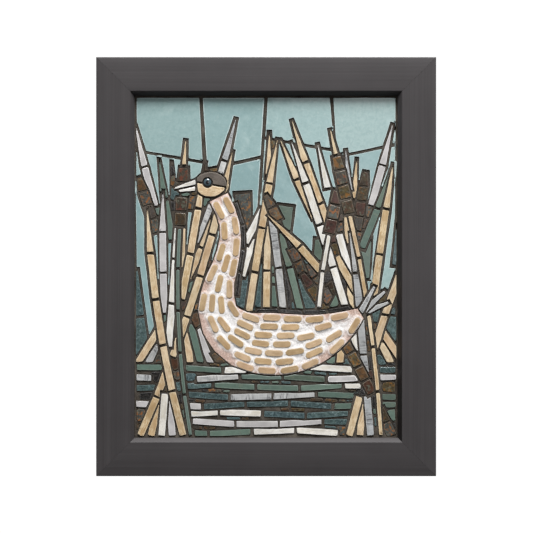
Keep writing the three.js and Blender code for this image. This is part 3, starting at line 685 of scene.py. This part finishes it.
heightSlack = 0.03 * mm
bedTops = flatTops("mortar_bed", levels["tilesAbove"])
addShape(outlines, bedTops)
for height, kind in kindAtHeight.items():
    shape = bedTops.copy()
    others = [f for f in shape.faces if abs(f.calc_center_median().y + height * mm) > heightSlack]
    dropFaces(shape, others)
    if shape.faces:
        makeTiles("small_" + kind + "_tiles", kind, shape, seed)
    seed += 1
bedTops.free()

plumeShape = {"slant": 2.4, "corner": 1.9, "rim": 0.45, "fuller": 1.1, "sunk": 1.5}
tileShapes["plume"] = dict(tileShapes["tan"], **plumeShape)
slotOfKind["plume"] = "tan_stone"
plumeOutlines = flatTops("bird_body", levels["plumesAbove"])
for f in plumeOutlines.faces:  # cut a little fuller than in the CAD
    middle = f.calc_center_median()
    for v in f.verts:
        v.co += (v.co - middle).normalized() * plumeShape["fuller"] * mm
plumeFoot = levels["birdMortar"] - plumeShape["sunk"] * mm
makeTiles("plume_tiles", "plume", plumeOutlines.copy(), seed, foot=plumeFoot)
print("tiles are laid")


# the mortar
mortarLook = {
    "slabHalf": (173, 223), "grid": 3.95, "margins": (2.2, 0.7), "underBird": 15.2, "birdKeepOff": 0.8,
    "sag": 0.25, "sagSize": 9, "grain": 0.2, "grainSize": 2.5, "drop": 0.3, "dropReach": (0.6, 2.2),
    # painted shade in the joints: how far it reaches from the tiles, its near-black colour (beside) and its
    # share
    "paintedShadeReach": (0.1, 1.0),
    "beside": (24, 21, 18), "paintedShadeShare": 0.88, "sand": (156, 149, 141),
    "dark": (55, 49, 43), "middle": (80, 74, 67), "light": (110, 103, 94),
}
birdLook = {
    "grid": 1.1, "edgeRound": 0.9, "longSide": 5, "edgeWidth": 22, "lumps": 0.1, "lumpSizes": (6, 1.9),
    "ridge": 0.8, "ridgeReach": (0.6, 2.4), "ridgeSize": 5, "ridgeHighlightReach": (0.4, 1.4),
    "middle": (243, 241, 240), "edge": (206, 176, 162), "grain": (168, 146, 134),
    # beside is the colour of a painted highlight along the ridge next to the tiles
    "sparkle": (255, 252, 248), "beside": (250, 246, 242),
}


def coarseThenFine(material, place, scale, coarseStrength, grains, depth):
    coarse = addBump(material, addNoise(material, place, scale, 4.0, 0.7), 0.6 * mm, coarseStrength)
    joinTo(material, addBump(material, grains, depth, 0.8, coarse), "Normal")


def darkMortarMaterial():  # sandy, with painted shade that makes it nearly black beside the tiles
    look = mortarLook
    material = newMaterial("darkMortar", 0.95, Specular_IOR_Level=0.2)
    place = objectPlace(material)
    clouds = addNoise(material, place, 45.0, 5.0, 0.6)
    stops = [(0.3, paint(*look["dark"])), (0.55, paint(*look["middle"])), (0.8, paint(*look["light"]))]
    colour = addRamp(material, clouds, stops)
    grains = addNoise(material, place, 1500.0, 3.0, 0.7)
    sand = shareOver(material, grains, (0.6, 0.72), 0, 0.7, smooth=False)
    colour = mixColours(material, sand, colour, paint(*look["sand"]))
    # painted shade: the mortar turns near black next to the tiles
    beside = multiply(material, readLayer(material, "paintedJointShade"), look["paintedShadeShare"])
    joinTo(material, mixColours(material, beside, colour, paint(*look["beside"])), "Base Color")
    coarseThenFine(material, place, 500.0, 0.7, grains, 0.3 * mm)
    return material


def paleMortarMaterial():  # sandy and pinkish towards the outline, white in the middle, and whiter beside the tiles as a painted highlight on the ridge
    look = birdLook
    material = newMaterial("paleMortar", 0.85, Specular_IOR_Level=0.3)
    place = objectPlace(material)
    clouds = addNoise(material, place, 55.0, 4.0, 0.6)
    blur = multiply(material, doMaths(material, "SUBTRACT", clouds, 0.5), 1.1)
    share = doMaths(material, "ADD", readLayer(material, "inner"), blur)
    colour = addRamp(material, share, [(0.15, paint(*look["edge"])), (0.7, paint(*look["middle"]))], True)
    grains = addNoise(material, place, 540.0, 5.0, 0.8)
    sand = shareOver(material, grains, (0.36, 0.54), 0.8, 0, smooth=False)
    outer = shareOver(material, share, (0.2, 0.8), 1, 0.45, smooth=False)
    colour = mixColours(material, multiply(material, sand, outer), colour, paint(*look["grain"]))
    sparkle = shareOver(material, grains, (0.56, 0.66), 0, 0.8, smooth=False)
    colour = mixColours(material, sparkle, colour, paint(*look["sparkle"]))
    # painted highlight along the ridge beside the tiles
    broken = shareOver(material, clouds, (0.3, 0.6), 0.2, 0.7, smooth=False)
    ridge = multiply(material, readLayer(material, "beside"), broken)
    joinTo(material, mixColours(material, ridge, colour, paint(*look["beside"])), "Base Color")
    coarseThenFine(material, place, 420.0, 0.8, grains, 0.4 * mm)
    return material


def upright(shape, columns, rows, height, halfX, halfZ):  # a grid that stands in front of the wall
    turn = Matrix.Translation((0, -height, field["middle"])) @ Matrix.Rotation(math.pi / 2, 4, "X")
    place = turn @ Matrix.Diagonal((halfX, halfZ, 1, 1))
    bmesh.ops.create_grid(shape, x_segments=columns, y_segments=rows, size=1.0, matrix=place)


def refine(shape, covers, walls, margin):  # smaller faces where the mortar shows
    edges = set()
    for f in shape.faces:
        middle = f.calc_center_median()
        if not isCovered(covers, middle) or gapTo(walls, middle) < margin:
            edges.update(f.edges)
    bmesh.ops.subdivide_edges(shape, edges=list(edges), cuts=1, use_grid_fill=True)


def reaching(span, near):  # from 1 beside a tile down to 0 at the span's end, in millimetres
    return 1 - smoothly(span[0] * mm, span[1] * mm, near)


def layMortar():
    look = mortarLook
    shape = bmesh.new()
    halfX, halfZ = look["slabHalf"]
    columns = int(2 * halfX / look["grid"])
    rows = int(2 * halfZ / look["grid"])
    upright(shape, columns, rows, levels["mortar"], halfX * mm, halfZ * mm)
    bird = birdOutline()
    covers = coversOf(cutOutlines, bird)
    underBird = coversOf(bird)
    walls = wallsOf(cutOutlines, bird)
    for margin in look["margins"]:
        refine(shape, covers, walls, margin * mm)
    skirt = bmesh.ops.extrude_edge_only(shape, edges=[e for e in shape.edges if e.is_boundary])
    for v in picked(skirt, "BMVert"):
        v.co.y = -levels["slabBack"]
    bmesh.ops.holes_fill(shape, edges=[e for e in shape.edges if e.is_boundary], sides=0)
    paintedJointShade = shape.verts.layers.float.new("paintedJointShade")
    for v in shape.verts:
        if v.co.y > -levels["slabBack"] - mm:
            continue
        near = gapTo(walls, v.co)
        if near > look["birdKeepOff"] * mm and isCovered(underBird, v.co):
            v.co.y = -look["underBird"] * mm
            continue
        # painted shade, strongest next to the tiles
        v[paintedJointShade] = reaching(look["paintedShadeReach"], near)
        v.co.y += look["drop"] * mm * reaching(look["dropReach"], near)
        sag = look["sag"] * mm * (0.4 + spot(v.co, look["sagSize"] * mm, 3))
        v.co.y += sag + look["grain"] * mm * spot(v.co, look["grainSize"] * mm, 5)
    finishPiece("dark_mortar_bed", shape, [darkMortarMaterial()], ["mortar_bed"], 60)


def layBirdMortar():
    look = birdLook
    shape = birdOutline()
    longEdges = [e for e in shape.edges if e.calc_length() > look["longSide"] * mm]
    bmesh.ops.bisect_edges(shape, edges=longEdges, cuts=3)
    raised = bmesh.ops.extrude_face_region(shape, geom=shape.faces[:])
    tops = picked(raised, "BMFace")
    for v in {v for f in tops for v in f.verts}:
        v.co.y = -levels["birdMortar"]
    roundOff(shape, {e for f in tops for e in f.edges}, look["edgeRound"] * mm, 3)
    rimPlaces = [v.co.copy() for v in shape.verts if abs(v.co.y + levels["tileFoot"]) < 0.01 * mm]
    cutGrid(shape, [f for f in shape.faces if f.normal.y < -0.99], look["grid"] * mm)
    walls = wallsOf(plumeOutlines)
    inner = shape.verts.layers.float.new("inner")
    beside = shape.verts.layers.float.new("beside")
    broad, small = look["lumpSizes"]
    for v in shape.verts:
        fromEdge = min((v.co.x - p.x) ** 2 + (v.co.z - p.z) ** 2 for p in rimPlaces) ** 0.5
        v[inner] = min(1.0, fromEdge / (look["edgeWidth"] * mm))
        near = gapTo(walls, v.co)
        # a painted highlight on the mortar's ridge next to the tiles
        v[beside] = reaching(look["ridgeHighlightReach"], near)
        if v.co.y < -levels["mortar"]:
            uneven = 0.75 + 0.4 * spot(v.co, look["ridgeSize"] * mm, 6)
            ridge = look["ridge"] * mm * reaching(look["ridgeReach"], near) * uneven
            lumps = look["lumps"] * mm * (spot(v.co, broad * mm, 8) + spot(v.co, small * mm, 9))
            v.co.y += lumps - ridge
    finishPiece("bird_mortar", shape, [paleMortarMaterial()], ["bird_body"], 60)


# slivers: what fills the mortar between the larger tiles
slivers = {
    "gap": 1.4, "leastReach": 2.1, "mostReach": 11, "leastRay": 0.5, "spike": 1.35, "leastArea": 7,
    "rays": 14, "step": 2.2, "neighbour": 40, "below": 0.15,
    "kinds": ["brown", "teal", "green", "black", "brown", "brown"],
}


def sliverSpots(covers, walls):  # places in open mortar, the roomiest first
    halfX, halfZ = field["halfWidth"], field["halfHeight"]
    step = slivers["step"] * mm
    spots = []
    for i in range(int(2 * halfX / step)):
        for j in range(int(2 * halfZ / step)):
            p = Vector((-halfX + (i + 0.5) * step, 0, field["middle"] - halfZ + (j + 0.5) * step))
            reach = gapTo(walls, p)
            if reach > slivers["leastReach"] * mm and not isCovered(covers, p):
                spots.append((reach, i, j, p))
    spots.sort(key=lambda s: (-s[0], s[1], s[2]))
    return [s[3] for s in spots]


def ringFrom(p, walls, close, start):  # an outline that grows from a spot until it nears what lies round it
    ways = []
    for k in range(slivers["rays"]):
        angle = 2 * math.pi * (k + start) / slivers["rays"]
        ways.append(Vector((math.cos(angle), 0, math.sin(angle))))
    reaches = []
    for way in ways:
        hit = walls.ray_cast(p, way)
        far = min([hit[3] if hit[0] is not None else 1.0] + [reachTo(p, way, ring) for ring in close])
        reaches.append(min(far, slivers["mostReach"] * mm))
    ring = []
    for k, way in enumerate(ways):
        beside = max(reaches[k - 1], reaches[(k + 1) % len(ways)])
        reach = min(reaches[k], slivers["spike"] * beside) - slivers["gap"] * mm
        ring.append(p + way * max(slivers["leastRay"] * mm, reach))
    return ring


def laySlivers():
    border = bmesh.new()
    upright(border, 1, 1, 0, field["halfWidth"], field["halfHeight"])
    bird = birdOutline()
    covers = coversOf(outlines, bird)
    walls = wallsOf(outlines, bird, border)
    draw = random.Random(12)
    rings = []
    made = bmesh.new()
    for p in sliverSpots(covers, walls):
        close = [ring for ring in rings if (ring[0] - p).length < slivers["neighbour"] * mm]
        if any(inside(p, ring) or distance(p, ring) < slivers["leastReach"] * mm for ring in close):
            continue
        ring = ringFrom(p, walls, close, draw.uniform(0, 1))
        area = sum((a - p).cross(b - p).length / 2 for a, b in sides(ring))
        if area < slivers["leastArea"] * mm * mm:
            continue
        rings.append(ring)
        circle = bmesh.ops.create_circle(made, cap_ends=True, segments=len(ring), radius=mm)
        for v, place in zip(circle["verts"], ring):
            v.co = place
    made.normal_update()
    bmesh.ops.dissolve_limit(made, angle_limit=math.radians(16), verts=made.verts, edges=made.edges)
    bmesh.ops.reverse_faces(made, faces=[f for f in made.faces if f.normal.y > 0])
    print("slivers:", len(rings))
    return made


def sides(ring):
    return list(zip(ring, ring[1:] + ring[:1]))


def inside(p, ring):
    hits = 0
    for a, b in sides(ring):
        if (a.z > p.z) != (b.z > p.z) and p.x < (b.x - a.x) * (p.z - a.z) / (b.z - a.z) + a.x:
            hits += 1
    return hits % 2 == 1


def distance(p, ring):
    best = 1.0
    for a, b in sides(ring):
        run = b - a
        share = max(0.0, min(1.0, (p - a).dot(run) / max(run.dot(run), 1e-12)))
        best = min(best, (a + run * share - p).length)
    return best


def reachTo(p, way, ring):  # how far it is from a point to a ring, one way
    best = 1.0
    for a, b in sides(ring):
        run = b - a
        turn = way.x * run.z - way.z * run.x
        if abs(turn) < 1e-12:
            continue
        gap = a - p
        far = (gap.x * run.z - gap.z * run.x) / turn
        alongSide = (gap.x * way.z - gap.z * way.x) / turn
        if far > 0 and 0 <= alongSide <= 1:
            best = min(best, far)
    return best


heightOf = {kind: height * mm for height, kind in kindAtHeight.items()}
slivered = laySlivers()
for number, kind in enumerate(slivers["kinds"]):
    shape = slivered.copy()
    shape.faces.ensure_lookup_table()
    others = [f for f in shape.faces if f.index % len(slivers["kinds"]) != number]
    dropFaces(shape, others)
    for v in shape.verts:
        v.co.y = slivers["below"] * mm - heightOf[kind]
    shape.normal_update()
    if shape.faces:
        makeTiles("slivers_" + kind + "_" + str(number), kind, shape, 70 + number)
print("slivers are in")
layMortar()
layBirdMortar()
print("mortar is spread")


# the bird's eye
eyeLook = {
    "side": 18.0, "dome": 2.4, "steps": 8, "around": 32,
    "iris": (66, 84, 92), "ring": (30, 36, 40), "pupil": (8, 8, 9), "pupilShare": 0.42, "streaks": 0.16,
}


def beadMaterial(middle, radius):  # a dark pupil, a grey-blue iris and a darker ring
    material = newMaterial("beadGlass", 0.06, Coat_Weight=1.0, Coat_Roughness=0.03)
    place = objectPlace(material)
    moved = {"Location": (-middle.x, 0, -middle.z), "Scale": (1, 0, 1)}
    centred = addNode(material, "Mapping", Vector=place, **moved).outputs["Vector"]
    out = addNode(material, "VectorMath", {"operation": "LENGTH"}, _0=centred).outputs["Value"]
    streak = doMaths(material, "SUBTRACT", addNoise(material, place, 900.0, 3.0, 0.6), 0.5)
    wobble = multiply(material, streak, eyeLook["streaks"])
    share = doMaths(material, "ADD", doMaths(material, "DIVIDE", out, radius), wobble)
    cut = eyeLook["pupilShare"]
    pupil, iris, ring = [paint(*eyeLook[name]) for name in ("pupil", "iris", "ring")]
    stops = [(cut - 0.03, pupil), (cut + 0.03, iris), (0.78, iris), (0.9, ring)]
    joinTo(material, addRamp(material, share, stops), "Base Color")
    return material


def makeEye():
    low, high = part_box("bird_eye")
    middle = (low + high) / 2
    radius = (high.x - low.x) / 2
    shape = bmesh.new()
    profile = [(radius, -levels["tileFoot"]), (radius, -eyeLook["side"] * mm)]
    for i in range(1, eyeLook["steps"] + 1):
        turn = math.pi / 2 * i / eyeLook["steps"]
        profile.append((radius * math.cos(turn), -(eyeLook["side"] + eyeLook["dome"] * math.sin(turn)) * mm))
    line = [shape.verts.new((middle.x + x, y, middle.z)) for x, y in profile]
    edges = [shape.edges.new(pair) for pair in zip(line, line[1:])]
    bmesh.ops.spin(shape, geom=line + edges, cent=middle, axis=(0, 1, 0), angle=2 * math.pi,
                   steps=eyeLook["around"], use_merge=True)
    bmesh.ops.remove_doubles(shape, verts=shape.verts, dist=0.01 * mm)
    bmesh.ops.holes_fill(shape, edges=[e for e in shape.edges if e.is_boundary], sides=0)
    finishPiece("bird_eye_bead", shape, [beadMaterial(middle, radius)], ["bird_eye"])


makeEye()


# the frame and the board
frameLook = {
    "light": (69, 66, 67), "middle": (64, 61, 62), "dark": (58, 55, 56),
    "brushAlong": 6.0, "brushAcross": 900.0, "bandWidth": 0.22,
    "edgeRound": 0.8, "mitreClose": 0.12, "longEdge": 200,
}


def framePaint(lengthwise):  # brushed paint, its strokes along the rail
    material = newMaterial("framePaint" + lengthwise, Specular_IOR_Level=0.32)
    place = objectPlace(material)
    along, across = frameLook["brushAlong"], frameLook["brushAcross"]
    scale = (along, across, across) if lengthwise == "Across" else (across, across, along)
    brush = addNoise(material, stretched(material, place, *scale), 1.0, 5.0, 0.6)
    broad = stretched(material, place, *[s * frameLook["bandWidth"] for s in scale])
    bands = addNoise(material, broad, 1.0, 3.0, 0.5)
    clouds = addNoise(material, place, 14.0, 4.0, 0.6)
    mixed = multiply(material, brush, 0.4)
    for layer in (bands, clouds):
        mixed = doMaths(material, "ADD", mixed, multiply(material, layer, 0.3))
    dark, middle, light = [paint(*frameLook[name]) for name in ("dark", "middle", "light")]
    joinTo(material, addRamp(material, mixed, [(0.36, dark), (0.5, middle), (0.64, light)]), "Base Color")
    joinTo(material, addNode(material, "MapRange", _0=bands, _3=0.5, _4=0.62).outputs[0], "Roughness")
    coarse = addBump(material, bands, 0.5 * mm, 0.1)
    joinTo(material, addBump(material, brush, 0.3 * mm, 0.16, coarse), "Normal")
    return material


paints = {"Across": framePaint("Across"), "Upright": framePaint("Upright")}


def isSharp(edge):
    return len(edge.link_faces) == 2 and edge.calc_face_angle() > math.radians(30)


def makeRail(side):
    lengthwise = "Across" if side in ("top", "bottom") else "Upright"
    axis, middle = (0, 0) if lengthwise == "Across" else (2, field["middle"])
    shape = cadSurface("frame_rail_" + side)
    joinFlatFaces(shape)
    sharp = []
    for e in shape.edges:
        length = abs((e.verts[0].co - e.verts[1].co)[axis])
        if isSharp(e) and length > frameLook["longEdge"] * mm:
            sharp.append(e)
    for v in shape.verts:  # the mitres close to a hair
        v.co[axis] += math.copysign(frameLook["mitreClose"] * mm, v.co[axis] - middle)
    roundOff(shape, sharp, frameLook["edgeRound"] * mm, 4)
    finishPiece("rail_" + side, shape, [paints[lengthwise]], ["frame_rail_" + side], 50)


for side in ("top", "bottom", "left", "right"):
    makeRail(side)


def boardMaterial():
    material = newMaterial("boardFibre", 0.85)
    place = objectPlace(material)
    fibres = addNoise(material, stretched(material, place, 700, 700, 260), 1.0, 6.0, 0.65)
    clouds = addNoise(material, place, 12.0, 4.0, 0.6)
    half = [multiply(material, layer, 0.5) for layer in (fibres, clouds)]
    stops = [(0.35, paint(128, 104, 76)), (0.65, paint(168, 142, 108))]
    joinTo(material, addRamp(material, doMaths(material, "ADD", *half), stops), "Base Color")
    joinTo(material, addBump(material, fibres, 0.2 * mm, 0.3), "Normal")
    return material


board = frame["nodes"]["backing_board"]
board.data.materials.clear()
board.data.materials.append(boardMaterial())
print("frame and board are finished")


# floor, light and camera; the last row says where the frame lies in the photo, in pixels
studio = {
    "skyAbove": 0.5, "skyBelow": 0.03, "skySeen": 1.05,
    "keyPower": 272.0, "keyPlace": (0.48, -1.74, 3.17), "keySize": 1.8,
    "fillPower": 2.0, "fillPlace": (0.35, -2.0, 0.05), "fillSize": 0.7,
    "backPower": 24.0, "backPlace": (0.4, 1.4, 0.6), "backSize": 1.2,
    "floorBelow": -1.15, "floorMiddle": -2.6, "floorHalf": (8.0, 5.2), "floorGlow": 0.5,
    "cameraAway": 1.8, "sensor": 36,
    "left": 96.0, "right": 436.3, "top": 57.5, "bottom": 475.7, "picture": 533.0,
}


def addAreaLight(name, target):
    data = bpy.data.lights.new(name + "Light", "AREA")
    data.shape = "DISK"
    data.size = studio[name + "Size"]
    data.energy = studio[name + "Power"]
    light = addObject(name + "Light", data)
    light.location = studio[name + "Place"]
    light.rotation_euler = (target - light.location).to_track_quat("-Z", "Y").to_euler()


def setSky():  # white where the camera sees it, and a softer light that is weaker from below
    world = bpy.data.worlds.new("studio")
    bpy.context.scene.world = world
    world.use_nodes = True
    world.node_tree.nodes.clear()
    direction = addNode(world, "TexCoord").outputs["Generated"]
    height = addNode(world, "SeparateXYZ", Vector=direction).outputs["Z"]
    reach = {"From_Min": -1, "To_Min": studio["skyBelow"], "To_Max": studio["skyAbove"]}
    strength = addNode(world, "MapRange", Value=height, **reach).outputs[0]
    lighting = addNode(world, "Background", Strength=strength).outputs[0]
    seen = addNode(world, "Background", Color=(1, 1, 1, 1), Strength=studio["skySeen"]).outputs[0]
    straight = addNode(world, "LightPath").outputs["Is Camera Ray"]
    mixed = addNode(world, "MixShader", _0=straight, _1=lighting, _2=seen).outputs[0]
    addNode(world, "OutputWorld", Surface=mixed)


def layFloor():  # it ends behind the panel where the camera in front would begin to see it
    shape = bmesh.new()
    place = Matrix.Translation((0, studio["floorMiddle"], studio["floorBelow"]))
    size = Matrix.Diagonal((*studio["floorHalf"], 1, 1))
    bmesh.ops.create_grid(shape, x_segments=8, y_segments=8, size=1.0, matrix=place @ size)
    mesh = bpy.data.meshes.new("floor")
    shape.to_mesh(mesh)
    shape.free()
    floor = addObject("floor", mesh)
    material = newMaterial("paleFloor", 0.7, Emission_Strength=studio["floorGlow"])
    clouds = addNoise(material, objectPlace(material), 6.0)
    pale = addRamp(material, clouds, [(0.3, paint(238, 237, 235)), (0.7, paint(244, 243, 242))])
    joinTo(material, pale, "Base Color")
    joinTo(material, pale, "Emission Color")  # a little light of its own keeps its far end pale
    mesh.materials.append(material)
    floor.visible_diffuse = False  # its bounce would light the undersides
    floor.visible_glossy = False


def setCamera():  # the frame's front, 430 mm wide, fills its share of the picture
    camera = addObject("camera", bpy.data.cameras.new("camera"))
    bpy.context.scene.camera = camera
    perPixel = (cadBox[1][0] - cadBox[0][0]) / (studio["right"] - studio["left"])
    offX = (studio["left"] + studio["right"] - studio["picture"]) / 2 * perPixel
    offZ = (studio["top"] + studio["bottom"] - studio["picture"]) / 2 * perPixel
    camera.data.sensor_width = studio["sensor"]
    camera.data.lens = studio["sensor"] * studio["cameraAway"] / (perPixel * studio["picture"])
    camera.location = (-offX, -levels["crest"] - studio["cameraAway"], field["middle"] + offZ)
    camera.rotation_euler = (math.pi / 2, 0, 0)
    camera.data.clip_end = 50


for name in ("key", "fill", "back"):
    addAreaLight(name, Vector((0, -levels["crest"], field["middle"])))
setSky()
layFloor()
setCamera()
bpy.context.scene.view_settings.view_transform = "Standard"
bpy.context.scene.view_settings.look = "None"
print("studio is set")
